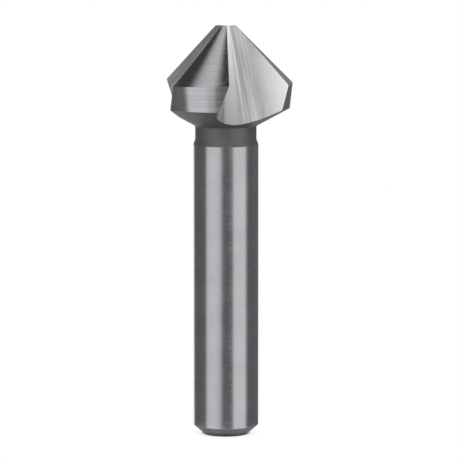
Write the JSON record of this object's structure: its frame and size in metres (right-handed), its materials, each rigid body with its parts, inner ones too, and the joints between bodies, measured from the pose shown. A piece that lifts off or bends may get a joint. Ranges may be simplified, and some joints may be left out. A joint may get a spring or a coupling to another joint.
{
  "type": "countersink bit",
  "caption": "Fluted countersink bit with a conical cutting head, a short neck and a plain round shank with a chamfered end.",
  "frame": {"origin": "centre of the shank's flat end face, on the axis", "axes": "+Z along the axis from the shank end to the tip; -Y is the front; a cutting edge lies just right of the front"},
  "size_m": [0.0193, 0.0203, 0.063],
  "materials": {
    "tool_steel": "ground high-speed steel, bright and finely lined on the head and shank, darker and matt on the neck and back cone"
  },
  "bodies": {
    "root": {"countersink_bit": "tool_steel"}
  },
  "joints": []
}
